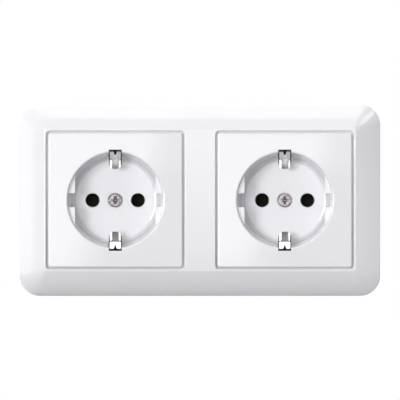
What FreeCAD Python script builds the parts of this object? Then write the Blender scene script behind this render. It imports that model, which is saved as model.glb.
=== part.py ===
# Double earthed wall socket: one frame over two plug wells, each on its own wall box.
# Millimetres. X runs along the frame, Y points into the wall and Z is up. The origin
# is on the wall plane in the middle of the frame, and the front faces -Y.

import FreeCAD
import Part
import math
import os

V = FreeCAD.Vector
INTO_WALL = V(0, 1, 0)

overcut = 1.0                 # cutting solids reach this far past the faces they cut

# Frame
frame_room = 3.1              # between the frame's outer wall and the support ring
frame_corner = 8.5            # corner radius seen from the front
frame_front = 10.5            # flat front of the frame, ahead of the wall
frame_side = 5.0              # straight side of the frame, ahead of the wall
frame_wall = 1.8
frame_crown = 0.35            # bulge of the sloping border
frame_side_round = 0.8
frame_rim = 0.7               # flat rim round the windows
frame_rim_corner = 1.0
window = 58.1                 # square opening for each cover
window_corner = 1.9
window_round = 0.3
ledge_step = 2.4              # from the frame's front back to the ledge
ledge_width = 2.2
ledge_wall = 1.5
apron_wall = 1.4
apron_notch = 14.0            # gap in each apron for the head of a box screw
apron_notch_depth = 3.0
rib_wall = 1.2

# Cover: square plate and plug well in one moulding
plate_gap = 0.9               # groove between the plate and its window
plate_proud = 0.4             # the middle of the plate ahead of the frame
plate_crown = 0.2             # bulge from the sides of the plate to its middle
plate_wall = 2.2
plate_corner = 1.2
plate_round = 0.6
skirt_wall = 1.5
well_depth = 17.5
well_mouth = 20.2             # radius of the well just under its lip
well_draft = 2.1              # how much narrower the radius is at the floor
well_lip = 0.6
well_fillet = 1.8
cup_wall = 1.5
floor_wall = 2.2
guide_depth = 3.3             # flats of the side guides, in from the mouth of the well
guide_half_height = 10.1
guide_notch = 5.8
guide_step = 3.0              # from the plate back to the top of the guides
pin_pitch = 19.0
pin_hole = 2.9                # radius
pin_chamfer = 0.3
earth_slot_gap = 0.4          # between an earth finger and each side of its slot
earth_slot_end = 0.1          # from the finger's crest out to the round end of its slot
earth_slot_notch = 1.0        # how far the slot cuts into the lip, out from the mouth of the well
cover_rib_depth = 2.6

# Centre screw
screw_head = 2.9              # radius
screw_head_height = 1.7
screw_head_round = 0.7
screw_seat_gap = 0.35
screw_seat_depth = 0.8
screw_radius = 1.5
screw_end = 4.4               # from the deck of the carrier to the screw's tip
screw_slot = 0.7
screw_slot_depth = 0.7
screw_cross = 1.2             # width of the cross's arms at the top, and below at its bottom
screw_cross_bottom = 0.4
screw_cross_reach = 1.7       # length of each arm at the top
screw_cross_depth = 1.5
thread_gap = 0.05
screw_hole_gap = 0.2

# Earth strap
strap_sheet = 0.8
strap_width = 4.6
strap_pad = 4.4               # radius of the round pad under the centre screw
strap_collar_wall = 1.0
strap_collar_depth = 3.2
finger_sheet = 0.7
finger_root = 3.6             # a finger's inner face at the floor, in from the mouth of the well
finger_crest = 7.4            # where the plug's side contact is touched, in from the mouth
finger_crest_rise = 8.0       # from the floor of the well forward to the crest
finger_crease = 2.7
finger_crease_rise = 13.0
finger_tip_rise = 14.6
finger_bend = 0.9
finger_neck = 2.6             # width at the crest
finger_end = 4.6              # width at the tip
finger_shoulder = 1.0         # height over which it widens
finger_notch = 2.2            # width of the notch in the tip

# Support ring
ring_sheet = 1.0
ring_gap = 0.8                # between the rings of neighbouring sockets
ring_edge = 5.1               # from the circle of the box screws to the ring's edge
ring_corner_cut = 9.0
ring_clearance = 1.3          # round the cup
box_slot_step = 5.2           # from the claw screws out to the circle of the box screws
box_slot_width = 4.0
box_slot_sweep = 13.0         # degrees to each side
box_keyhole = 3.4             # radius
corner_hole_inset = 9.1       # from the ring's edges
corner_hole = 1.75            # radius
tab_width = 10.0
tab_length = 8.5
tab_window_width = 5.0
tab_window_length = 2.4
tab_window_start = 4.0
lug_gap = 0.1

# Claws that spread in the wall box
claw_screw_step = 3.6         # from the side of the carrier out to the screw's middle
claw_screw_head = 2.6         # radius
claw_screw_head_height = 1.6
claw_screw_tip = 22.5
claw_screw_slot = 0.8
claw_screw_slot_depth = 0.8
claw_screw_round = 0.5
claw_pivot_step = 3.4         # from the side of the carrier out to the claw's pivot
claw_pivot_depth = 1.9
claw_pivot_radius = 0.8
claw_eye = 1.7
claw_sheet = 1.2
claw_width = 11.6
claw_length = 21.5
claw_slot = 3.8
claw_slot_end = 14.0
claw_arm_end = 13.0
claw_tooth = 1.7
claw_plate_start = 5.5
hinge_gap = 0.06
side_gap = 0.3                # beside sliding and swinging pieces
nut_reach = 2.1               # outer face of the nut, out from the screw's middle
nut_length = 3.0
nut_rest = 17.5               # front face of the nut when the claw lies in
nut_touch = 0.12

# Contact carrier
base_side = 1.0               # side of the carrier, out from the mouth of the well
base_end = 2.7                # top and bottom of the carrier, out from the mouth
base_round = 5.3              # from its top out to the circle that cuts its corners
chamber_depth = 14.4          # from the deck back to the rear cover
chamber_side = 1.75           # wall beside the pole chambers
base_collar_gap = 0.35
base_collar_window = 15.0
deck_wall = 2.0
deck_hole = 3.1               # radius
middle_wall = 9.2
chamber_end = 4.9             # from the top of the carrier down to the pole chambers
chamber_step = 3.9            # between the earth bus and the lower end of the pole chambers
rear_wall = 1.8
snap_width = 6.4
snap_length = 8.5
snap_sheet = 1.2
snap_catch = 0.7
snap_catch_length = 2.4
snap_gap = 0.15
lug_root = 1.0                # how deep a lug is rooted in the carrier

# Contacts and push-in terminals
contact_sheet = 0.7
tulip_mouth = 3.1
tulip_waist = 2.45
tulip_waist_depth = 2.2       # from the mouth of the pocket back to its waist
tulip_back = 2.9
tulip_back_length = 4.6       # straight back of the pocket, with the web over it
tulip_half_height = 2.8
tulip_bend = 0.6
bus_lap = 1.0                 # how far the bus plate laps over the pocket's side
terminal_half_width = 5.6
terminal_end = 0.4            # between the contact and the end of its chamber
terminal_depth = 6.7          # from the bus plate to the chamber wall
bus_start = 2.9               # from the deck back to the bus plate
bus_end = 2.0                 # between the bus plate and the rear cover
earth_bus_rise = 12.5         # from the bottom of the carrier up to the face of the earth bus
spring_sheet = 0.45
spring_foot = 6.2
spring_start = 3.0            # from the deck back to the spring's foot
spring_end = 1.6              # between the spring's top and the rear cover
spring_turn = 3.4
spring_edge = 0.5
spring_reach = 6.9            # from the spring's top forward to its clamping edge
spring_bend = 1.0
spring_gap_half = 2.1         # room between the two tongues for the button
wire_radius = 1.3
wire_funnel = 0.5
wire_offset = 1.35            # wire's middle out from the bus plate
button_near = 2.3
button_far = 5.0
button_half_width = 1.2
button_flange = 1.75
button_flange_wall = 1.3
button_round = 0.4
button_gap = 0.2
button_reach = 4.5            # from the rear cover forward to the button's foot
button_proud = 1.9

# Sizes that follow: from the pins and the mouth of the well out to the carrier, the claws, the
# box screws, the ring and the frame, and then from the front backwards
pole_bus = pin_pitch / 2 + tulip_back + contact_sheet / 2
chamber_outer = pole_bus + terminal_depth
base_half_width = max(well_mouth + base_side, chamber_outer + chamber_side)
base_half_height = well_mouth + base_end
base_radius = base_half_height + base_round
claw_screw_offset = base_half_width + claw_screw_step
claw_pivot_offset = base_half_width + claw_pivot_step
box_screw_circle = claw_screw_offset + box_slot_step
ring_side = 2 * (box_screw_circle + ring_edge)
gang_pitch = ring_side + ring_gap
frame_height = ring_side + 2 * (frame_room + frame_wall)
frame_length = frame_height + gang_pitch
plateau_length = gang_pitch + window + 2 * frame_rim
plateau_height = window + 2 * frame_rim
slope_run = (frame_height - plateau_height) / 2
cover_front = -(frame_front + plate_proud)
ledge_front = -(frame_front - ledge_step)
plate_side = window - 2 * plate_gap
floor_front = cover_front + well_depth
floor_back = floor_front + floor_wall
well_bottom = well_mouth - well_draft
crown_radius = (plate_side / 2) ** 2 / (2 * plate_crown)
lip_front = cover_front + (well_mouth + well_lip / 2) ** 2 / (2 * crown_radius)
guide_flat = well_mouth - guide_depth
skin_back = cover_front + plate_wall
deck_front = floor_back + strap_sheet
deck_back = deck_front + deck_wall
base_back = deck_back + chamber_depth
bus_front = deck_back + bus_start
bus_back = base_back - bus_end
spring_front = deck_back + spring_start
spring_top = base_back - spring_end
spring_edge_y = spring_top - spring_reach
button_foot = base_back - button_reach
screw_tip = deck_front + screw_end
head_seat = floor_front + screw_seat_depth
strap_collar = screw_radius + thread_gap + strap_collar_wall
earth_slot = strap_width + 2 * earth_slot_gap
root_z = well_mouth - finger_root
crest_y = floor_front - finger_crest_rise
crest_z = well_mouth - finger_crest
crease_y = floor_front - finger_crease_rise
crease_z = well_mouth - finger_crease
tip_y = floor_front - finger_tip_rise
claw_inner_width = claw_width - 2 * claw_sheet
nut_width = claw_inner_width - 2 * side_gap
nut_inner = base_half_width + side_gap
nut_outer = claw_screw_offset + nut_reach
claw_rise = nut_outer + nut_touch - claw_pivot_offset
claw_rest_angle = math.degrees(math.atan2(claw_rise, nut_rest - claw_pivot_depth))
earth_bus = base_half_height - earth_bus_rise
pole_chamber_top = base_half_height - chamber_end
pole_chamber_bottom = chamber_step - earth_bus
terminal_centre = pole_chamber_top - terminal_end - terminal_half_width


def well_radius(y):
    return well_mouth - well_draft * (y - cover_front) / well_depth


def block(x0, x1, y0, y1, z0, z1):
    return Part.makeBox(x1 - x0, y1 - y0, z1 - z0, V(x0, y0, z0))


def rod(radius, y0, y1, x=0.0, z=0.0):
    return Part.makeCylinder(radius, y1 - y0, V(x, y0, z), INTO_WALL)


def taper(radius0, radius1, y0, y1, x=0.0, z=0.0):
    return Part.makeCone(radius0, radius1, y1 - y0, V(x, y0, z), INTO_WALL)


def outline(length, height, radius, y):
    """Rectangle with round corners, in the plane at depth y."""
    chord = radius * (1 - math.sqrt(0.5))
    corners = []
    for side, top in ((1, 1), (-1, 1), (-1, -1), (1, -1)):
        x = side * length / 2
        z = top * height / 2
        beside = V(x, y, z - top * radius)
        above = V(x - side * radius, y, z)
        apex = V(x - side * chord, y, z - top * chord)
        corners.append((beside, apex, above) if side == top else (above, apex, beside))
    edges = []
    for corner, following in zip(corners, corners[1:] + corners[:1]):
        edges.append(Part.Arc(*corner).toShape())
        edges.append(Part.LineSegment(corner[2], following[0]).toShape())
    return Part.Wire(edges)


def slab(length, height, radius, y0, y1):
    return Part.Face(outline(length, height, radius, y0)).extrude(V(0, y1 - y0, 0))


def plate_outline(points):
    return Part.Face(Part.makePolygon(points + points[:1]))


def bent_line(points, radii):
    """Straight runs through the points, with an arc of its own radius at each corner."""
    edges = []
    start = points[0]
    for before, corner, after, radius in zip(points, points[1:], points[2:], radii):
        back = (before - corner).normalize()
        ahead = (after - corner).normalize()
        half = back.getAngle(ahead) / 2
        cut = radius / math.tan(half)
        middle = (back + ahead).normalize()
        apex = corner + middle * (radius / math.sin(half) - radius)
        edges.append(Part.LineSegment(start, corner + back * cut).toShape())
        edges.append(Part.Arc(corner + back * cut, apex, corner + ahead * cut).toShape())
        start = corner + ahead * cut
    edges.append(Part.LineSegment(start, points[-1]).toShape())
    return Part.Wire(edges)


def folded_strip(points, radius, sheet, across):
    """Sheet metal strip: its section follows the points, its width is the vector across."""
    line = bent_line(points, [radius] * (len(points) - 2))
    section = line.makeOffset2D(sheet, fill=True, openResult=True)
    section.translate(across * -0.5)
    return section.extrude(across)


def edges_at(shape, y, reach=1e-4):
    """Edges that lie wholly within a short reach of the plane at depth y."""
    return [e for e in shape.Edges
            if abs(e.BoundBox.YMin - y) < reach and abs(e.BoundBox.YMax - y) < reach]


def inside_window(edge):
    """True for an edge on the rim of one of the frame's two windows."""
    middle = edge.BoundBox.Center
    from_socket = abs(middle.x) - gang_pitch / 2
    return max(abs(from_socket), abs(middle.z)) < window / 2 + frame_rim / 2


def tidy(shape):
    return shape.removeSplitter()


# Frame

def frame_shell():
    """Low hollow shell: straight sides, a crowned slope and a flat front."""
    middle_y = -(frame_side + frame_front) / 2 - frame_crown
    middle_corner = (frame_corner + frame_rim_corner) / 2
    slope = Part.makeLoft([
        outline(frame_length, frame_height, frame_corner, -frame_side),
        outline(frame_length - slope_run, frame_height - slope_run, middle_corner, middle_y),
        outline(plateau_length, plateau_height, frame_rim_corner, -frame_front),
    ], True, False)
    outer = slab(frame_length, frame_height, frame_corner, -frame_side, 0).fuse(slope)
    outer = outer.makeFillet(frame_side_round, edges_at(outer, -frame_side))

    inner_length = frame_length - 2 * frame_wall
    inner_height = frame_height - 2 * frame_wall
    inner_corner = frame_corner - frame_wall
    inner_side = frame_side - frame_wall / 2
    roof = frame_front - frame_wall
    hollow = slab(inner_length, inner_height, inner_corner, -inner_side, frame_wall)
    hollow_slope = Part.makeLoft([
        outline(inner_length, inner_height, inner_corner, -inner_side),
        outline(plateau_length - frame_wall, plateau_height - frame_wall, frame_rim_corner, -roof),
    ], True, True)
    return outer.cut(hollow.fuse(hollow_slope))


def frame_ribs():
    """Stiffening ribs between the outer sides and the walls round the windows."""
    roof = -(frame_front - frame_wall / 2)
    side = frame_height / 2 - frame_wall / 2
    ribs = []
    for gang in (-1, 1):
        for offset in (-window / 3, window / 3):
            x = gang * gang_pitch / 2 + offset
            ribs.append(block(x - rib_wall / 2, x + rib_wall / 2, roof, -ring_sheet, -side, side))
    end = frame_length / 2 - frame_wall / 2
    for z in (-window / 3, 0.0, window / 3):
        ribs.append(block(-end, end, roof, -ring_sheet, z - rib_wall / 2, z + rib_wall / 2))
    return ribs[0].multiFuse(ribs[1:])


def frame():
    """One moulding that joins both sockets, with a ledge in each window for a cover."""
    shell = frame_shell()
    span = window + 2 * apron_wall
    solid_front = shell.fuse(frame_ribs().common(frame_envelope()))
    for gang in (-1, 1):
        shift = V(gang * gang_pitch / 2, 0, 0)
        tower = slab(span, span, window_corner + apron_wall, -frame_front + frame_wall / 2, -ring_sheet)
        ledge = window - 2 * ledge_width
        opening = slab(ledge, ledge, window_corner, -frame_front - overcut, overcut)
        recess = slab(window, window, window_corner, -frame_front - overcut, ledge_front)
        behind = slab(window, window, window_corner, ledge_front + ledge_wall, overcut)
        notch = apron_notch / 2
        notch_front = -ring_sheet - apron_notch_depth
        notches = [
            block(-notch, notch, notch_front, overcut, -span / 2, span / 2),
            block(-span / 2, span / 2, notch_front, overcut, -notch, notch),
        ]
        for piece in [tower, opening, recess, behind] + notches:
            piece.translate(shift)
        solid_front = solid_front.fuse(tower).cut(opening.fuse([recess, behind] + notches))
    rim_edges = [e for e in edges_at(solid_front, -frame_front) if inside_window(e)]
    return tidy(solid_front.makeFillet(window_round, rim_edges))


def frame_envelope():
    """Space that the ribs may fill: inside the sides and under the slope."""
    inset = frame_wall
    side = slab(frame_length - inset, frame_height - inset, frame_corner - inset / 2, -frame_side, 0)
    slope = Part.makeLoft([
        outline(frame_length - inset, frame_height - inset, frame_corner - inset / 2, -frame_side),
        outline(plateau_length, plateau_height, frame_rim_corner, -frame_front + inset / 2),
    ], True, True)
    return side.fuse(slope)


# Cover with its plug well

def well_cavity():
    """Space that the plug fills, with a rounded lip and a round corner at the floor."""
    rim = well_mouth + 2 * well_lip
    ahead = cover_front - overcut
    wall = bent_line([
        V(0, floor_front, 0), V(well_bottom, floor_front, 0),
        V(well_mouth, lip_front, 0), V(rim, lip_front, 0),
    ], [well_fillet, well_lip])
    front = Part.makePolygon([V(rim, lip_front, 0), V(rim, ahead, 0), V(0, ahead, 0), V(0, floor_front, 0)])
    section = Part.Face(Part.Wire(wall.Edges + front.Edges))
    return section.revolve(V(0, 0, 0), INTO_WALL, 360)


def cup_outside(gap=0.0, y0=cover_front + plate_wall / 2, y1=floor_back):
    return taper(well_radius(y0) + cup_wall + gap, well_radius(y1) + cup_wall + gap, y0, y1)


def cover_plate():
    """Slightly domed square plate with a skirt that stands on the frame's ledge."""
    plate = slab(plate_side, plate_side, plate_corner, cover_front, ledge_front)
    plate = plate.common(Part.makeSphere(crown_radius, V(0, cover_front + crown_radius, 0)))
    plate = plate.makeFillet(plate_round, edges_at(plate, cover_front, 3 * plate_crown))
    inside = plate_side - 2 * skirt_wall
    return plate.cut(slab(inside, inside, plate_corner, skin_back, ledge_front + overcut))


def cover_ribs():
    """Short ribs between the cup and the skirt, behind the plate."""
    half = plate_side / 2 - skirt_wall / 2
    ribs = []
    for turn in (45, 135):
        rib = block(-half * math.sqrt(2), half * math.sqrt(2), skin_back - plate_wall / 2,
                    skin_back + cover_rib_depth, -rib_wall / 2, rib_wall / 2)
        rib.rotate(V(0, 0, 0), INTO_WALL, turn)
        ribs.append(rib)
    inside = plate_side - skirt_wall
    return ribs[0].fuse(ribs[1]).common(slab(inside, inside, plate_corner, cover_front, ledge_front))


def side_guides():
    """Flats at both sides of the well that turn the plug to its place, each in two halves."""
    top = cover_front + guide_step
    guides = []
    for side in (-1, 1):
        for half in (-1, 1):
            low, high = sorted((half * guide_notch / 2, half * guide_half_height))
            near, far = sorted((side * guide_flat, side * well_mouth))
            guides.append(block(near, far, top, floor_front + floor_wall / 2, low, high))
    return guides[0].multiFuse(guides[1:]).common(cup_outside())


def earth_slots():
    """Slots for the two earth fingers: a notch in the lip, through the wall and round in the floor."""
    radius = earth_slot / 2
    centre = crest_z + earth_slot_end + radius
    back = floor_back + overcut
    notch_end = well_mouth + earth_slot_notch
    slots = []
    for turn in (0, 180):
        slot = block(-radius, radius, skin_back, back, centre, well_mouth + cup_wall + overcut)
        notch = block(-radius, radius, cover_front - overcut, skin_back, centre, notch_end)
        slot = slot.fuse([notch, rod(radius, floor_front - overcut, back, 0, centre)])
        slot.rotate(V(0, 0, 0), INTO_WALL, turn)
        slots.append(slot)
    return slots


def cover():
    body = cover_plate().fuse([cup_outside(), cover_ribs()]).cut(well_cavity())
    body = body.fuse(side_guides())
    cuts = earth_slots()
    for x in (-pin_pitch / 2, pin_pitch / 2):
        cuts.append(rod(pin_hole, floor_front - overcut, floor_back + overcut, x))
        cuts.append(taper(pin_hole + pin_chamfer, pin_hole, floor_front, floor_front + pin_chamfer, x))
    cuts.append(rod(screw_head + screw_seat_gap, floor_front - overcut, head_seat))
    cuts.append(rod(screw_radius + screw_hole_gap, floor_front, floor_back + overcut))
    return tidy(body.cut(cuts[0].multiFuse(cuts[1:])))


# Screws

def screw(head_radius, head_height, shank_radius, seat, tip, head_round):
    """Round-headed screw along Y, its head in front of the seat."""
    head = rod(head_radius, seat - head_height, seat)
    head = head.makeFillet(head_round, edges_at(head, seat - head_height))
    point = shank_radius / 2
    shank = rod(shank_radius, seat, tip - point)
    end = taper(shank_radius, shank_radius - point, tip - point, tip)
    return head.fuse([shank, end])


def centre_screw():
    """Fixing screw of the cover: its head has a tapered cross and one long slot."""
    top = head_seat - screw_head_height
    bottom = top + screw_cross_depth
    body = screw(screw_head, screw_head_height, screw_radius, head_seat, screw_tip, screw_head_round)
    half = screw_slot / 2
    slot = block(-screw_head, screw_head, top - overcut, top + screw_slot_depth, -half, half)
    reach = screw_cross_reach
    wide = screw_cross / 2
    narrow = screw_cross_bottom / 2
    arm = plate_outline([V(-reach, top, -wide), V(-reach, top, wide), V(-reach, bottom, narrow),
                         V(-reach, bottom, -narrow)]).extrude(V(2 * reach, 0, 0))
    cross = arm.copy()
    arm.rotate(V(0, 0, 0), INTO_WALL, 90)
    cross = cross.fuse(arm).common(taper(reach, narrow, top, bottom))
    return tidy(body.cut(slot.fuse(cross)))


def claw_screw():
    body = screw(claw_screw_head, claw_screw_head_height, screw_radius, -ring_sheet,
                 claw_screw_tip, claw_screw_round)
    top = -ring_sheet - claw_screw_head_height
    half = claw_screw_slot / 2
    bottom = top + claw_screw_slot_depth
    body = body.cut(block(-claw_screw_head, claw_screw_head, top - overcut, bottom, -half, half))
    body.translate(V(claw_screw_offset, 0, 0))
    return body


# Earth strap

def earth_finger():
    """Spring finger: up through the floor slot, in to the crest, out to the lip of the well."""
    path = [
        V(0, floor_back, 0), V(0, floor_back, root_z), V(0, (floor_front + crest_y) / 2, root_z),
        V(0, crest_y, crest_z), V(0, crease_y, crease_z), V(0, tip_y, well_mouth),
    ]
    strip = folded_strip(path, finger_bend, finger_sheet, V(strap_width, 0, 0))
    neck = finger_neck / 2
    end = finger_end / 2
    outer = well_mouth + 2 * finger_sheet
    shoulder = crease_z - finger_shoulder
    raised = plate_outline([
        V(-neck, floor_back, 0), V(neck, floor_back, 0), V(neck, floor_back, shoulder),
        V(end, floor_back, crease_z), V(end, floor_back, outer), V(-end, floor_back, outer),
        V(-end, floor_back, crease_z), V(-neck, floor_back, shoulder),
    ]).extrude(V(0, tip_y - 2 * finger_sheet - floor_back, 0))
    flat = block(-strap_width / 2, strap_width / 2, floor_back, floor_back + finger_sheet, 0, outer)
    notch = plate_outline([
        V(0, crease_y, crease_z + finger_sheet), V(finger_notch / 2, crease_y, outer),
        V(-finger_notch / 2, crease_y, outer),
    ]).extrude(V(0, tip_y - 2 * finger_sheet - crease_y, 0))
    return strip.common(raised.fuse(flat)).cut(notch)


def earth_strap():
    """One folded piece: two fingers, a threaded pad in the middle and the earth bus."""
    spine = block(-strap_width / 2, strap_width / 2, floor_back, deck_front, -root_z, root_z)
    pad = rod(strap_pad, floor_back, deck_front)
    collar = rod(strap_collar, floor_back, deck_front + strap_collar_depth)
    near = -earth_bus + contact_sheet
    bus = block(-terminal_half_width, terminal_half_width, floor_back, bus_back, -earth_bus, near)
    shoulder = block(-terminal_half_width, terminal_half_width, floor_back, deck_front,
                     -earth_bus, -strap_pad)
    strap = spine.fuse([pad, collar, bus, shoulder])
    for turn in (0, 180):
        finger = earth_finger()
        finger.rotate(V(0, 0, 0), INTO_WALL, turn)
        strap = strap.fuse(finger)
    thread = rod(screw_radius + thread_gap, floor_back - overcut, deck_front + strap_collar_depth + overcut)
    return tidy(strap.cut(thread))


# Support ring

def arc_slot():
    """Slot for a box screw: it follows the screw circle, with a keyhole at one end."""
    half = box_slot_width / 2
    front = -ring_sheet - overcut
    near = box_screw_circle - half
    far = box_screw_circle + half
    profile = plate_outline([V(near, front, 0), V(far, front, 0), V(far, overcut, 0), V(near, overcut, 0)])
    slot = profile.revolve(V(0, 0, 0), INTO_WALL, 2 * box_slot_sweep)
    slot.rotate(V(0, 0, 0), INTO_WALL, -box_slot_sweep)
    ends = []
    for turn, radius in ((-box_slot_sweep, box_keyhole), (box_slot_sweep, half)):
        end = rod(radius, front, overcut, box_screw_circle)
        end.rotate(V(0, 0, 0), INTO_WALL, turn)
        ends.append(end)
    return slot.fuse(ends)


def ring_tabs():
    """Lugs folded back from the ring: two hold the carrier, four carry the claws."""
    tabs = []
    for side in (-1, 1):
        near, far = sorted((side * base_half_height, side * (base_half_height + ring_sheet)))
        tab = block(-tab_width / 2, tab_width / 2, 0, tab_length, near, far)
        window_end = tab_window_start + tab_window_length
        hole = block(-tab_window_width / 2, tab_window_width / 2, tab_window_start, window_end,
                     near - overcut, far + overcut)
        tabs.append(tab.cut(hole))
    ear_start = claw_width / 2 + side_gap
    pin_hole_radius = claw_pivot_radius + hinge_gap
    for side in (-1, 1):
        for half in (-1, 1):
            low, high = sorted((half * ear_start, half * (ear_start + ring_sheet)))
            x = side * claw_pivot_offset
            ear = block(x - claw_eye, x + claw_eye, -ring_sheet / 2, claw_pivot_depth, low, high)
            knob = Part.makeCylinder(claw_eye, ring_sheet, V(x, claw_pivot_depth, low), V(0, 0, 1))
            bore = Part.makeCylinder(pin_hole_radius, ring_sheet, V(x, claw_pivot_depth, low), V(0, 0, 1))
            tabs.append(ear.fuse(knob).cut(bore))
    return tabs


def support_ring():
    """Square steel ring on the wall, with slots for the box screws."""
    half = ring_side / 2
    cut = half - ring_corner_cut
    plate = plate_outline([
        V(half, -ring_sheet, cut), V(cut, -ring_sheet, half), V(-cut, -ring_sheet, half),
        V(-half, -ring_sheet, cut), V(-half, -ring_sheet, -cut), V(-cut, -ring_sheet, -half),
        V(cut, -ring_sheet, -half), V(half, -ring_sheet, -cut),
    ]).extrude(V(0, ring_sheet, 0))
    front = -ring_sheet - overcut
    holes = [rod(well_radius(-ring_sheet) + cup_wall + ring_clearance, front, overcut)]
    for turn in (0, 90, 180, 270):
        slot = arc_slot()
        slot.rotate(V(0, 0, 0), INTO_WALL, turn)
        holes.append(slot)
    inset = half - corner_hole_inset
    for side in (-1, 1):
        holes.append(rod(corner_hole, front, overcut, side * inset, inset))
        holes.append(rod(corner_hole, front, overcut, side * inset, -inset))
        holes.append(rod(screw_radius + hinge_gap, front, overcut, side * claw_screw_offset))
    plate = plate.cut(holes[0].multiFuse(holes[1:]))
    return tidy(plate.multiFuse(ring_tabs()))


# Claws

def claw():
    """Spreading claw on the +X side: a slotted plate between two arms with pivot stubs."""
    half = claw_width / 2
    plate = block(0, claw_sheet, claw_plate_start, claw_length, -half, half)
    tooth = plate_outline([
        V(0, claw_length - 2 * claw_tooth, 0), V(claw_sheet, claw_length - 2 * claw_tooth, 0),
        V(claw_tooth, claw_length, 0), V(0, claw_length, 0),
    ]).extrude(V(0, 0, claw_width))
    tooth.translate(V(0, 0, -half))
    body = plate.fuse(tooth)
    for side in (-1, 1):
        low, high = sorted((side * half, side * (half - claw_sheet)))
        arm = plate_outline([
            V(-claw_eye, 0, low), V(claw_eye, 0, low), V(claw_sheet, claw_plate_start + claw_eye, low),
            V(claw_sheet, claw_arm_end, low), V(0, claw_arm_end, low), V(-claw_sheet, claw_plate_start, low),
        ]).extrude(V(0, 0, high - low))
        eye = Part.makeCylinder(claw_eye, claw_sheet, V(0, 0, low), V(0, 0, 1))
        stub_length = side_gap + ring_sheet + hinge_gap
        stub = Part.makeCylinder(claw_pivot_radius, stub_length + claw_sheet,
                                 V(0, 0, side * (half - claw_sheet)), V(0, 0, side))
        body = body.fuse([arm, eye, stub])
    end = claw_length + overcut
    notch = plate_outline([
        V(-overcut, end, -half / 2), V(-overcut, end, half / 2), V(-overcut, claw_length - claw_tooth, 0),
    ]).extrude(V(claw_tooth + 2 * overcut, 0, 0))
    slot = block(-overcut, claw_tooth + overcut, 0, claw_slot_end, -claw_slot / 2, claw_slot / 2)
    body = body.cut(slot.fuse(notch))
    body.rotate(V(0, 0, 0), V(0, 0, 1), -claw_rest_angle)
    body.translate(V(claw_pivot_offset, claw_pivot_depth, 0))
    return tidy(body)


def claw_nut():
    """Square nut that the claw screw draws forward; the carrier's side keeps it from turning."""
    half = nut_width / 2
    nut = block(nut_inner, nut_outer, nut_rest, nut_rest + nut_length, -half, half)
    return nut.cut(rod(screw_radius + thread_gap, 0, base_back, claw_screw_offset))


# Contact carrier and its rear cover

def carrier_outline(y0, y1, inset=0.0):
    width = base_half_width - inset
    height = base_half_height - inset
    return block(-width, width, y0, y1, -height, height).common(rod(base_radius - inset, y0, y1))


def snap_slots(gap):
    """Grooves in the carrier's top and bottom for the rear cover's snap legs."""
    slots = []
    half = snap_width / 2 + gap
    for side in (-1, 1):
        near = side * (base_half_height - snap_sheet - gap)
        low, high = sorted((near, side * (base_half_height + overcut)))
        start = base_back - snap_length - gap
        slots.append(block(-half, half, start, base_back + overcut, low, high))
        deep = side * (base_half_height - snap_sheet - snap_catch - 2 * gap)
        low, high = sorted((deep, side * base_half_height))
        slots.append(block(-half, half, start, start + snap_catch_length + gap, low, high))
    return slots


def contact_carrier():
    """Dark moulding behind the well: a collar round the cup, a deck and three chambers."""
    body = carrier_outline(0, base_back)
    body = body.cut(cup_outside(base_collar_gap, 0, deck_front))
    half = base_collar_window / 2
    body = body.cut(block(-base_half_width, base_half_width, -overcut, deck_front, -half, half))
    through = deck_front - overcut
    open_back = base_back + overcut
    chambers = [
        earth_chamber(),
        block(-terminal_half_width - side_gap, terminal_half_width + side_gap, through, base_back,
              -earth_bus - side_gap, -earth_bus + contact_sheet + side_gap),
        rod(strap_collar + side_gap, through, screw_tip + overcut),
    ]
    for side in (-1, 1):
        near, far = sorted((side * middle_wall / 2, side * chamber_outer))
        chambers.append(block(near, far, deck_back, open_back, pole_chamber_bottom, pole_chamber_top))
        chambers.append(rod(deck_hole, through, deck_back + overcut, side * pin_pitch / 2))
    body = body.cut(chambers[0].multiFuse(chambers[1:] + snap_slots(snap_gap)))
    lugs = []
    for side in (-1, 1):
        root = base_half_height - lug_root
        near, far = sorted((side * root, side * (base_half_height + ring_sheet)))
        start = tab_window_start + lug_gap
        end = tab_window_start + tab_window_length - lug_gap
        half = tab_window_width / 2 - lug_gap
        lugs.append(block(-half, half, start, end, near, far))
    return tidy(body.fuse(lugs))


def earth_chamber():
    half = terminal_half_width + side_gap
    top = -earth_bus + contact_sheet + side_gap
    return block(-half, half, deck_back, base_back + overcut, -earth_bus - terminal_depth, top)


def terminal_places():
    """Turn and shift that carry the terminal's own frame to each of the three terminals."""
    return {
        "live": (0, V(pole_bus, 0, terminal_centre), 1),
        "neutral": (0, V(pole_bus, 0, terminal_centre), -1),
        "earth": (90, V(0, 0, -earth_bus), 1),
    }


def placed(piece, name):
    """Move a piece from the terminal's frame, where X leaves the bus plate, to its terminal."""
    turn, shift, side = terminal_places()[name]
    piece.rotate(V(0, 0, 0), INTO_WALL, turn)
    piece.translate(shift)
    return piece if side > 0 else piece.mirror(V(0, 0, 0), V(1, 0, 0))


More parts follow.
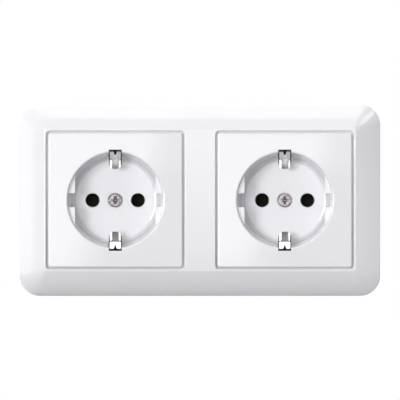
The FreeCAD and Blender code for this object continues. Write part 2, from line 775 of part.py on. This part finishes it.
def rear_cover():
    """Cover of the chambers, with funnels for six wires and windows for three buttons."""
    back = base_back + rear_wall
    body = carrier_outline(base_back, back)
    wire_z = (spring_gap_half + terminal_half_width) / 2
    ahead = base_back - overcut
    beyond = back + overcut
    for name in terminal_places():
        cuts = [block(button_near - button_gap, button_far + button_gap, ahead, beyond,
                      -button_half_width - button_gap, button_half_width + button_gap)]
        for side in (-1, 1):
            cuts.append(rod(wire_radius, ahead, beyond, wire_offset, side * wire_z))
            cuts.append(taper(wire_radius, wire_radius + wire_funnel, back - wire_funnel, back,
                              wire_offset, side * wire_z))
        body = body.cut(placed(cuts[0].multiFuse(cuts[1:]), name))
    legs = []
    half = snap_width / 2
    for side in (-1, 1):
        start = base_back - snap_length
        low, high = sorted((side * (base_half_height - snap_sheet), side * base_half_height))
        legs.append(block(-half, half, start, base_back + rear_wall / 2, low, high))
        low, high = sorted((side * (base_half_height - snap_sheet - snap_catch), side * base_half_height))
        legs.append(block(-half, half, start, start + snap_catch_length, low, high))
    return tidy(body.fuse(legs))


# Contacts and terminals

def pole_contact():
    """Brass contact on the +X side: two sprung leaves for the pin and a bus plate for the wires."""
    x = pin_pitch / 2
    mouth = deck_back + side_gap
    waist = mouth + tulip_waist_depth
    wide = bus_back - tulip_back_length
    line = [V(tulip_mouth, mouth, 0), V(tulip_waist, waist, 0),
            V(tulip_back, wide, 0), V(tulip_back, bus_back, 0)]
    leaf = folded_strip(line, tulip_bend, contact_sheet, V(0, 0, 2 * tulip_half_height))
    web_end = tulip_back + contact_sheet
    web = block(-web_end, web_end, wide, bus_back, tulip_half_height, tulip_half_height + contact_sheet)
    pocket = leaf.fuse([leaf.mirror(V(0, 0, 0), V(1, 0, 0)), web])
    pocket.translate(V(x, 0, 0))
    top = terminal_centre + terminal_half_width
    low = tulip_half_height - bus_lap
    bus = block(pole_bus - contact_sheet, pole_bus, bus_front, bus_back, low, top)
    return tidy(pocket.fuse(bus))


def clamp_spring():
    """Leaf spring of one terminal: a foot on the chamber wall and two clamping tongues."""
    path = [V(spring_foot, spring_front, 0), V(spring_foot, spring_top, 0), V(spring_turn, spring_top, 0),
            V(spring_edge, spring_edge_y, 0)]
    width = 2 * terminal_half_width
    leaf = folded_strip(path, spring_bend, spring_sheet, V(0, 0, width))
    gap = block(-overcut, spring_foot - 2 * spring_sheet, spring_front - overcut, base_back,
                -spring_gap_half, spring_gap_half)
    return leaf.cut(gap)


def release_button():
    """Push button between the tongues; its flange rests against the rear cover."""
    back = base_back + rear_wall
    half = button_half_width
    stem = block(button_near, button_far, button_foot, back + button_proud, -half, half)
    stem = stem.makeFillet(button_round, edges_at(stem, back + button_proud))
    flange_back = base_back - side_gap
    flange = block(button_near, button_far, flange_back - button_flange_wall, flange_back,
                   -button_flange, button_flange)
    return tidy(stem.fuse(flange))


def socket_pieces():
    """Every piece of one socket, about its own middle."""
    pieces = {
        "cover": cover(),
        "centre_screw": centre_screw(),
        "earth_strap": earth_strap(),
        "support_ring": support_ring(),
        "contact_carrier": contact_carrier(),
        "rear_cover": rear_cover(),
        "live_contact": pole_contact(),
        "neutral_contact": pole_contact().mirror(V(0, 0, 0), V(1, 0, 0)),
    }
    for name in terminal_places():
        pieces[name + "_clamp_spring"] = placed(clamp_spring(), name)
        pieces[name + "_release_button"] = placed(release_button(), name)
    for side, facing in (("right", 1), ("left", -1)):
        for name, make in (("claw", claw), ("claw_screw", claw_screw), ("claw_nut", claw_nut)):
            piece = make()
            pieces[side + "_" + name] = piece if facing > 0 else piece.mirror(V(0, 0, 0), V(1, 0, 0))
    return pieces


def main():
    os.makedirs("parts", exist_ok=True)
    nodes = {"double_frame": frame()}
    for name, shape in socket_pieces().items():
        for socket, side in (("a", -1), ("b", 1)):
            copy = shape.copy()
            copy.translate(V(side * gang_pitch / 2, 0, 0))
            nodes["socket_" + socket + "_" + name] = copy
    for name, shape in nodes.items():
        shape.exportStep("parts/" + name + ".step")


main()
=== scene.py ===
import bpy, math
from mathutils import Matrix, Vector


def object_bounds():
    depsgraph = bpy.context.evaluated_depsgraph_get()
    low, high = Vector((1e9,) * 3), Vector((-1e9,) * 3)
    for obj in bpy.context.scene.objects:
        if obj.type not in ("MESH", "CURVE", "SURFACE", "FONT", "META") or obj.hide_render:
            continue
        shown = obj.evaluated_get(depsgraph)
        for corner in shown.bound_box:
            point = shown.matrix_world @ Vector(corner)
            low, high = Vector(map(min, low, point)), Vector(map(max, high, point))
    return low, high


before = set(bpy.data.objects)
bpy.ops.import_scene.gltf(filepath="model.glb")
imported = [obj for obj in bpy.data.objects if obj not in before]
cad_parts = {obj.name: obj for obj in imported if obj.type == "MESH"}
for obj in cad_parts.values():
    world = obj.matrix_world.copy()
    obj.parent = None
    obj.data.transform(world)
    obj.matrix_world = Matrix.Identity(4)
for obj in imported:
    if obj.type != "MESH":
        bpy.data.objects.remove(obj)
cad_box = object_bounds()


# Support rings. Each is a steel sheet that is stamped, folded and then electroplated with
# zinc. It is screwed over the wall box and carries everything else of its socket.
def linear(hex_colour):
    """Turns an sRGB hex colour into the linear colour that Blender's sockets take."""
    parts = [int(hex_colour[i:i + 2], 16) / 255 for i in (1, 3, 5)]
    return (*[p / 12.92 if p <= 0.04045 else ((p + 0.055) / 1.055) ** 2.4 for p in parts], 1.0)


def add(tree, kind, links=None, **settings):
    """Adds a node, sets its settings, and gives each socket in `links` a value or a link."""
    made = tree.nodes.new(kind)
    for name, value in settings.items():
        setattr(made, name, value)
    for socket, value in (links or {}).items():
        if isinstance(value, bpy.types.NodeSocket):
            tree.links.new(value, made.inputs[socket])
        else:
            made.inputs[socket].default_value = value
    return made


def start_material(name):
    """Starts an empty material and gives its tree and the output of the object's coordinates."""
    material = bpy.data.materials.new(name)
    material.use_nodes = True
    tree = material.node_tree
    tree.nodes.clear()
    place = add(tree, "ShaderNodeTexCoord").outputs["Object"]
    return material, tree, place


def dress(material, *names):
    """Puts a material on the CAD nodes with these names."""
    for name in names:
        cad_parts[name].data.materials.clear()
        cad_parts[name].data.materials.append(material)


# The inputs of a Mix node that take its two colours, and the output that gives their mix.
colour_a, colour_b, mixed_colour = 6, 7, 2

sockets = ("socket_a", "socket_b")
mm = 0.001

# Electroplated zinc on rolled sheet: a soft bluish metal with fine rolling lines and cloudy
# passivation patches.
line_spacing = 0.3 * mm
line_length = 17 * mm
line_depth = 0.03 * mm
patch_width = 4 * mm
zinc, tree, place = start_material("zinc_plated_rolled_sheet")
rolled = add(tree, "ShaderNodeMapping", {
    "Vector": place, "Scale": (1 / line_length, 1 / line_length, 1 / line_spacing)})
lines = add(tree, "ShaderNodeTexNoise", {"Vector": rolled.outputs[0], "Scale": 1.0, "Detail": 2.0})
cloud = add(tree, "ShaderNodeTexNoise", {"Vector": place, "Scale": 1 / patch_width, "Detail": 3.0})
tone = add(tree, "ShaderNodeMix", {
    "Factor": cloud.outputs[0], colour_a: linear("#b9bdc2"), colour_b: linear("#d3d6da")},
    data_type="RGBA")
gloss = add(tree, "ShaderNodeMapRange", {
    "Value": lines.outputs[0], "To Min": 0.28, "To Max": 0.46})
bump = add(tree, "ShaderNodeBump", {
    "Height": lines.outputs[0], "Strength": 0.25, "Distance": line_depth})
skin = add(tree, "ShaderNodeBsdfPrincipled", {
    "Base Color": tone.outputs[mixed_colour], "Metallic": 1.0,
    "Roughness": gloss.outputs[0], "Normal": bump.outputs[0]})
add(tree, "ShaderNodeOutputMaterial", {"Surface": skin.outputs[0]})
dress(zinc, *[s + "_support_ring" for s in sockets])


# Contact carriers. Each is one moulding of black glass-filled polyamide, with a collar round
# the cup of the cover and a chamber for each wire.

# The glass fibres leave a satin skin with pale flecks and faint flow clouds.
fleck_length = 0.4 * mm
fleck_height = 0.03 * mm
cloud_width = 8.3 * mm
carrier_black, tree, place = start_material("black_glass_filled_polyamide")
fleck = add(tree, "ShaderNodeTexNoise", {
    "Vector": place, "Scale": 1 / fleck_length, "Detail": 2.0, "Roughness": 0.7})
flow = add(tree, "ShaderNodeTexNoise", {
    "Vector": place, "Scale": 1 / cloud_width, "Detail": 2.0, "Distortion": 1.2})
speckle = add(tree, "ShaderNodeMath", {0: fleck.outputs[0], 1: flow.outputs[0]},
              operation="MULTIPLY")
tone = add(tree, "ShaderNodeMix", {
    "Factor": speckle.outputs[0], colour_a: linear("#1d1e20"), colour_b: linear("#3b3d40")},
    data_type="RGBA")
gloss = add(tree, "ShaderNodeMapRange", {
    "Value": fleck.outputs[0], "To Min": 0.42, "To Max": 0.62})
bump = add(tree, "ShaderNodeBump", {
    "Height": fleck.outputs[0], "Strength": 0.3, "Distance": fleck_height})
skin = add(tree, "ShaderNodeBsdfPrincipled", {
    "Base Color": tone.outputs[mixed_colour], "IOR": 1.53,
    "Roughness": gloss.outputs[0], "Normal": bump.outputs[0]})
add(tree, "ShaderNodeOutputMaterial", {"Surface": skin.outputs[0]})
dress(carrier_black, *[s + "_contact_carrier" for s in sockets])


# Live and neutral contacts. Each is folded from brass strip into a sprung pocket for one pin
# and a plate for its wires, and drops into its chamber.

# Bare drawn brass: warm yellow, with fine drawing lines and brown handling stains.
line_spacing = 0.15 * mm
line_length = 5 * mm
line_depth = 0.02 * mm
stain_width = 2.5 * mm
brass, tree, place = start_material("bare_drawn_brass")
drawn = add(tree, "ShaderNodeMapping", {
    "Vector": place, "Scale": (1 / line_length, 1 / line_length, 1 / line_spacing)})
lines = add(tree, "ShaderNodeTexNoise", {"Vector": drawn.outputs[0], "Scale": 1.0, "Detail": 2.0})
stain = add(tree, "ShaderNodeTexNoise", {"Vector": place, "Scale": 1 / stain_width, "Detail": 4.0})
tone = add(tree, "ShaderNodeMix", {
    "Factor": stain.outputs[0], colour_a: linear("#b98f45"), colour_b: linear("#dcbb72")},
    data_type="RGBA")
gloss = add(tree, "ShaderNodeMapRange", {
    "Value": lines.outputs[0], "To Min": 0.2, "To Max": 0.38})
bump = add(tree, "ShaderNodeBump", {
    "Height": lines.outputs[0], "Strength": 0.2, "Distance": line_depth})
skin = add(tree, "ShaderNodeBsdfPrincipled", {
    "Base Color": tone.outputs[mixed_colour], "Metallic": 1.0,
    "Roughness": gloss.outputs[0], "Normal": bump.outputs[0]})
add(tree, "ShaderNodeOutputMaterial", {"Surface": skin.outputs[0]})
dress(brass, *[f"{s}_{pole}_contact" for s in sockets for pole in ("live", "neutral")])


# Clamp springs. Each is a foot with two tongues, punched and bent from hard spring steel,
# and it grips two wires against the plate of its contact.

# Tempered steel strip: darker than zinc, with a blue-grey heat tint in patches.
tint_width = 2 * mm
grain_width = 0.25 * mm
grain_depth = 0.01 * mm
wires = ("live", "neutral", "earth")
spring, tree, place = start_material("tempered_spring_steel")
tint = add(tree, "ShaderNodeTexNoise", {"Vector": place, "Scale": 1 / tint_width, "Detail": 2.0})
grain = add(tree, "ShaderNodeTexNoise", {"Vector": place, "Scale": 1 / grain_width, "Detail": 2.0})
tone = add(tree, "ShaderNodeMix", {
    "Factor": tint.outputs[0], colour_a: linear("#85898f"), colour_b: linear("#aeb0b3")},
    data_type="RGBA")
gloss = add(tree, "ShaderNodeMapRange", {
    "Value": grain.outputs[0], "To Min": 0.22, "To Max": 0.36})
bump = add(tree, "ShaderNodeBump", {
    "Height": grain.outputs[0], "Strength": 0.15, "Distance": grain_depth})
skin = add(tree, "ShaderNodeBsdfPrincipled", {
    "Base Color": tone.outputs[mixed_colour], "Metallic": 1.0,
    "Roughness": gloss.outputs[0], "Normal": bump.outputs[0]})
add(tree, "ShaderNodeOutputMaterial", {"Surface": skin.outputs[0]})
dress(spring, *[f"{s}_{wire}_clamp_spring" for s in sockets for wire in wires])


# Rear covers. Each is a charcoal polyamide moulding with six wire funnels and three
# windows, and it snaps over the chambers.

# The spark-eroded tool leaves a fine matt grain, drawn coarser than the real one so that it
# shows, and the melt leaves slight flow clouds.
grain_width = 0.35 * mm
grain_depth = 0.03 * mm
cloud_width = 11 * mm
cover_charcoal, tree, place = start_material("charcoal_eroded_polyamide")
grain = add(tree, "ShaderNodeTexNoise", {"Vector": place, "Scale": 1 / grain_width, "Detail": 3.0})
flow = add(tree, "ShaderNodeTexNoise", {
    "Vector": place, "Scale": 1 / cloud_width, "Detail": 2.0, "Distortion": 1.0})
tone = add(tree, "ShaderNodeMix", {
    "Factor": flow.outputs[0], colour_a: linear("#17181a"), colour_b: linear("#222326")},
    data_type="RGBA")
gloss = add(tree, "ShaderNodeMapRange", {
    "Value": grain.outputs[0], "To Min": 0.5, "To Max": 0.66})
bump = add(tree, "ShaderNodeBump", {
    "Height": grain.outputs[0], "Strength": 0.35, "Distance": grain_depth})
skin = add(tree, "ShaderNodeBsdfPrincipled", {
    "Base Color": tone.outputs[mixed_colour], "IOR": 1.53,
    "Roughness": gloss.outputs[0], "Normal": bump.outputs[0]})
add(tree, "ShaderNodeOutputMaterial", {"Surface": skin.outputs[0]})
dress(cover_charcoal, *[s + "_rear_cover" for s in sockets])


# Release buttons. Each is a small orange polyoxymethylene pusher in a window of the rear
# cover, which bends its clamp spring away from the wires.

# The moulded resin is waxy: a satin skin with soft mottling.
mottle_width = 1.1 * mm
mottle_height = 0.03 * mm
button_orange, tree, place = start_material("orange_polyoxymethylene")
mottle = add(tree, "ShaderNodeTexNoise", {
    "Vector": place, "Scale": 1 / mottle_width, "Detail": 2.0})
tone = add(tree, "ShaderNodeMix", {
    "Factor": mottle.outputs[0], colour_a: linear("#d9621c"), colour_b: linear("#e8752b")},
    data_type="RGBA")
gloss = add(tree, "ShaderNodeMapRange", {
    "Value": mottle.outputs[0], "To Min": 0.32, "To Max": 0.42})
bump = add(tree, "ShaderNodeBump", {
    "Height": mottle.outputs[0], "Strength": 0.1, "Distance": mottle_height})
skin = add(tree, "ShaderNodeBsdfPrincipled", {
    "Base Color": tone.outputs[mixed_colour], "IOR": 1.48,
    "Roughness": gloss.outputs[0], "Normal": bump.outputs[0]})
add(tree, "ShaderNodeOutputMaterial", {"Surface": skin.outputs[0]})
dress(button_orange, *[f"{s}_{wire}_release_button" for s in sockets for wire in wires])


# Claws, their nuts and their screws. The claws and nuts are stamped steel and the screws are
# cold formed; all are plated with zinc and passivated yellow, as fixings are.

# The passivation gives a pale gold film that drifts to pink and green in patches.
drift_width = 3 * mm
grain_width = 0.33 * mm
grain_depth = 0.01 * mm
yellow_zinc, tree, place = start_material("yellow_passivated_zinc")
drift = add(tree, "ShaderNodeTexNoise", {"Vector": place, "Scale": 1 / drift_width, "Detail": 2.0})
grain = add(tree, "ShaderNodeTexNoise", {"Vector": place, "Scale": 1 / grain_width, "Detail": 2.0})
film = add(tree, "ShaderNodeValToRGB", {0: drift.outputs[0]})
pink, green = film.color_ramp.elements
pink.position, pink.color = 0.35, linear("#c9b8a8")
green.position, green.color = 0.65, linear("#c3c4a6")
film.color_ramp.elements.new(0.5).color = linear("#d2bf93")
gloss = add(tree, "ShaderNodeMapRange", {
    "Value": grain.outputs[0], "To Min": 0.28, "To Max": 0.42})
bump = add(tree, "ShaderNodeBump", {
    "Height": grain.outputs[0], "Strength": 0.2, "Distance": grain_depth})
skin = add(tree, "ShaderNodeBsdfPrincipled", {
    "Base Color": film.outputs[0], "Metallic": 1.0,
    "Roughness": gloss.outputs[0], "Normal": bump.outputs[0]})
add(tree, "ShaderNodeOutputMaterial", {"Surface": skin.outputs[0]})
dress(yellow_zinc, *[f"{s}_{side}_{part}" for s in sockets for side in ("left", "right")
                     for part in ("claw", "claw_nut", "claw_screw")])


# Earth straps. Each is one steel strip, punched, folded and nickel plated. Its two sprung
# fingers show in the well, and its threaded pad takes the centre screw.

# Bright nickel: slightly warm and glossy, with punching lines and a light haze.
line_spacing = 0.2 * mm
line_length = 4 * mm
line_depth = 0.02 * mm
haze_width = 1.67 * mm
nickel, tree, place = start_material("bright_nickel_plate")
punched = add(tree, "ShaderNodeMapping", {
    "Vector": place, "Scale": (1 / line_spacing, 1 / line_length, 1 / line_length)})
lines = add(tree, "ShaderNodeTexNoise", {
    "Vector": punched.outputs[0], "Scale": 1.0, "Detail": 2.0})
haze = add(tree, "ShaderNodeTexNoise", {"Vector": place, "Scale": 1 / haze_width, "Detail": 3.0})
tone = add(tree, "ShaderNodeMix", {
    "Factor": haze.outputs[0], colour_a: linear("#b1b0af"), colour_b: linear("#d0cfce")},
    data_type="RGBA")
gloss = add(tree, "ShaderNodeMapRange", {
    "Value": haze.outputs[0], "To Min": 0.1, "To Max": 0.22})
bump = add(tree, "ShaderNodeBump", {
    "Height": lines.outputs[0], "Strength": 0.15, "Distance": line_depth})
skin = add(tree, "ShaderNodeBsdfPrincipled", {
    "Base Color": tone.outputs[mixed_colour], "Metallic": 1.0,
    "Roughness": gloss.outputs[0], "Normal": bump.outputs[0]})
add(tree, "ShaderNodeOutputMaterial", {"Surface": skin.outputs[0]})
dress(nickel, *[s + "_earth_strap" for s in sockets])


# Double frame. One long moulding of glossy white ABS, with a sloping border and a window for
# each socket. It lies on the support rings, and the covers hold it there.
def polished_white(name):
    """Makes the material of the white mouldings. Gives it, its tree, the output of the
    object's coordinates and its bump node."""
    # ABS from a polished tool has a glossy skin that waves very slightly, and the cool white
    # shifts faintly where the melt flowed.
    flow_width = 25 * mm
    wave_width = 3 * mm
    wave_height = 0.02 * mm
    material, tree, place = start_material(name)
    flow = add(tree, "ShaderNodeTexNoise", {
        "Vector": place, "Scale": 1 / flow_width, "Detail": 1.0})
    wave = add(tree, "ShaderNodeTexNoise", {
        "Vector": place, "Scale": 1 / wave_width, "Detail": 1.0})
    tone = add(tree, "ShaderNodeMix", {
        "Factor": flow.outputs[0], colour_a: linear("#e1e1e5"), colour_b: linear("#e5e5e8")},
        data_type="RGBA")
    gloss = add(tree, "ShaderNodeMapRange", {
        "Value": wave.outputs[0], "To Min": 0.02, "To Max": 0.05})
    bump = add(tree, "ShaderNodeBump", {
        "Height": wave.outputs[0], "Strength": 0.04, "Distance": wave_height})
    skin = add(tree, "ShaderNodeBsdfPrincipled", {
        "Base Color": tone.outputs[mixed_colour], "IOR": 1.53,
        "Roughness": gloss.outputs[0], "Normal": bump.outputs[0]})
    add(tree, "ShaderNodeOutputMaterial", {"Surface": skin.outputs[0]})
    return material, tree, place, bump


# So long a moulding bows a little from top to bottom as it cools, which shades the reflection
# along its middle bar. The bow's crest lies above the middle of the frame.
bow_height = 0.154 * mm
bow_crest = 22 * mm
half_height = cad_box[1].z
bowed_white, tree, place, bump = polished_white("glossy_white_abs_bowed")
height = add(tree, "ShaderNodeSeparateXYZ", {"Vector": place})
below = add(tree, "ShaderNodeMath", {0: height.outputs["Z"], 1: bow_crest}, operation="SUBTRACT")
square = add(tree, "ShaderNodeMath", {0: below.outputs[0], 1: below.outputs[0]},
             operation="MULTIPLY")
fall = add(tree, "ShaderNodeMath", {0: square.outputs[0], 1: -bow_height / half_height ** 2},
           operation="MULTIPLY")
bow = add(tree, "ShaderNodeBump", {"Height": fall.outputs[0], "Strength": 1.0, "Distance": 1.0})
tree.links.new(bow.outputs[0], bump.inputs["Normal"])
dress(bowed_white, "double_frame")


# Covers. Each is a plate and a plug well in one moulding of the same glossy white ABS, with
# guides, pin holes and slots for the earth fingers. The centre screw holds it, and its plate
# holds the frame.
cover_white = polished_white("glossy_white_abs")[0]
dress(cover_white, *[s + "_cover" for s in sockets])


# Centre screws. Each is a cold-formed machine screw with a round head and a combined cross
# and slot, nickel plated, that draws the cover onto the pad of the earth strap.

# Barrel plating over a cold-formed head is dull and uneven: grey and pale patches, with
# small dents that break up the reflection.
patch_width = 0.59 * mm
dent_depth = 0.05 * mm
screw_nickel, tree, place = start_material("barrel_plated_nickel")
patch = add(tree, "ShaderNodeTexNoise", {"Vector": place, "Scale": 1 / patch_width, "Detail": 2.0})
share = add(tree, "ShaderNodeMapRange", {
    "Value": patch.outputs[0], "From Min": 0.4, "From Max": 0.6})
tone = add(tree, "ShaderNodeMix", {
    "Factor": share.outputs[0], colour_a: linear("#827c7f"), colour_b: linear("#b5afb2")},
    data_type="RGBA")
gloss = add(tree, "ShaderNodeMapRange", {
    "Value": patch.outputs[0], "To Min": 0.5, "To Max": 0.62})
bump = add(tree, "ShaderNodeBump", {
    "Height": patch.outputs[0], "Strength": 0.7, "Distance": dent_depth})
skin = add(tree, "ShaderNodeBsdfPrincipled", {
    "Base Color": tone.outputs[mixed_colour], "Metallic": 1.0,
    "Roughness": gloss.outputs[0], "Normal": bump.outputs[0]})
add(tree, "ShaderNodeOutputMaterial", {"Surface": skin.outputs[0]})
dress(screw_nickel, *[s + "_centre_screw" for s in sockets])


# Floor. A plain matt white sheet that the socket stands on, on its lower edge. The camera
# sees it near white, with a share of its own colour that keeps the shadow near the socket.
def looked_at(tree):
    """Gives 1 for rays of the camera, of a reflection or through glass, and 0 for others."""
    path = add(tree, "ShaderNodeLightPath")
    seen = add(tree, "ShaderNodeMath", {
        0: path.outputs["Is Camera Ray"], 1: path.outputs["Is Glossy Ray"]}, operation="MAXIMUM")
    seen = add(tree, "ShaderNodeMath", {
        0: seen.outputs[0], 1: path.outputs["Is Transmission Ray"]}, operation="MAXIMUM")
    return seen.outputs[0]


sheet_size = 500 * mm
bpy.ops.object.select_all(action="DESELECT")
bpy.ops.mesh.primitive_plane_add(size=sheet_size, location=(0, 0, cad_box[0].z))
floor = bpy.context.active_object
floor.name = "floor"
bpy.ops.object.transform_apply(location=True)

# Uncoated paper is matt, with faint mottling from its fibres. Away from the socket it turns
# wholly white to the camera, so that the edge of the sheet doesn't show.
fibre_width = 2.5 * mm
white_share = 0.8
fade_start, fade_end = 120 * mm, 240 * mm
paper, tree, place = start_material("matt_white_paper")
fibre = add(tree, "ShaderNodeTexNoise", {"Vector": place, "Scale": 1 / fibre_width, "Detail": 2.0})
tone = add(tree, "ShaderNodeMix", {
    "Factor": fibre.outputs[0], colour_a: linear("#b8b8b8"), colour_b: linear("#c0c0c0")},
    data_type="RGBA")
matt = add(tree, "ShaderNodeBsdfDiffuse", {"Color": tone.outputs[mixed_colour]})
shine = add(tree, "ShaderNodeEmission", {"Color": linear("#ffffff"), "Strength": 1.0})
distance = add(tree, "ShaderNodeVectorMath", {0: place}, operation="LENGTH")
fade = add(tree, "ShaderNodeMapRange", {
    "Value": distance.outputs["Value"], "From Min": fade_start, "From Max": fade_end,
    "To Min": white_share, "To Max": 1.0})
shown_white = add(tree, "ShaderNodeMath", {0: looked_at(tree), 1: fade.outputs[0]},
                  operation="MULTIPLY")
surface = add(tree, "ShaderNodeMixShader", {
    0: shown_white.outputs[0], 1: matt.outputs[0], 2: shine.outputs[0]})
add(tree, "ShaderNodeOutputMaterial", {"Surface": surface.outputs[0]})
floor.data.materials.append(paper)


# World. A white studio all round, as the photograph's background is white. It is full white
# only where the camera, a reflection or glass sees it, and lights the socket as a dim fill.
fill_level = 0.13
world = bpy.data.worlds.new("white_studio")
bpy.context.scene.world = world
world.use_nodes = True
tree = world.node_tree
tree.nodes.clear()
level = add(tree, "ShaderNodeMapRange", {
    "Value": looked_at(tree), "To Min": fill_level, "To Max": 1.0})
sky = add(tree, "ShaderNodeBackground", {
    "Color": linear("#ffffff"), "Strength": level.outputs[0]})
add(tree, "ShaderNodeOutputWorld", {"Surface": sky.outputs[0]})


# Lamps. The key is a softbox left of the camera. A small panel beside the camera has a
# feathered edge that mirrors across the domed plates, and the right softbox mirrors in the
# upper right corner. Big soft lamps stand at the left wall and overhead, and two light the back.
def far_lamp(name, left, up, spread, strength):
    """Adds a lamp far away: degrees left and up of the camera, degrees across, and strength."""
    data = bpy.data.lights.new(name, "SUN")
    data.angle = math.radians(spread)
    data.energy = strength
    lamp = bpy.data.objects.new(name, data)
    bpy.context.scene.collection.objects.link(lamp)
    lamp.rotation_euler = (math.radians(90 - up), 0, math.radians(-left))


far_lamp("key_softbox", left=21.5, up=3.5, spread=16, strength=1.48)
far_lamp("left_wall", left=85, up=0, spread=60, strength=1.18)
far_lamp("left_softbox", left=60, up=12, spread=40, strength=0.117)
far_lamp("high_left_softbox", left=25, up=60, spread=50, strength=0.24)
far_lamp("right_softbox", left=-44, up=35, spread=17, strength=0.23)
far_lamp("ceiling", left=0, up=85, spread=60, strength=1.6)
far_lamp("back_softbox", left=155, up=25, spread=50, strength=1.6)
far_lamp("back_fill", left=-150, up=15, spread=60, strength=0.7)

# Five lamps in one place, each a little wider than the last, make the panel's feathered edge.
panel_strength = 0.21
panel_spread = 16
feather = 0.3
panel_shares = (0.36, 0.16, 0.16, 0.16, 0.16)
for step, panel_share in enumerate(panel_shares):
    far_lamp(f"small_panel_{step}", left=6.15, up=4.95, spread=panel_spread + feather * step,
             strength=panel_strength * panel_share)


# Camera. It looks straight at the front, at the height of the socket's middle. The photograph
# shows no depth, so the camera is a parallel one.
picture_width = 167.57 * mm
camera_distance = 2000 * mm
camera_height = 0.1 * mm
lens_data = bpy.data.cameras.new("front_camera")
lens_data.type = "ORTHO"
lens_data.ortho_scale = picture_width
lens_data.clip_start = 0.1
lens_data.clip_end = 20
camera = bpy.data.objects.new("front_camera", lens_data)
bpy.context.scene.collection.objects.link(camera)
camera.location = (0, -camera_distance, camera_height)
camera.rotation_euler = (math.radians(90), 0, 0)
bpy.context.scene.camera = camera
bpy.context.scene.view_settings.view_transform = "Standard"
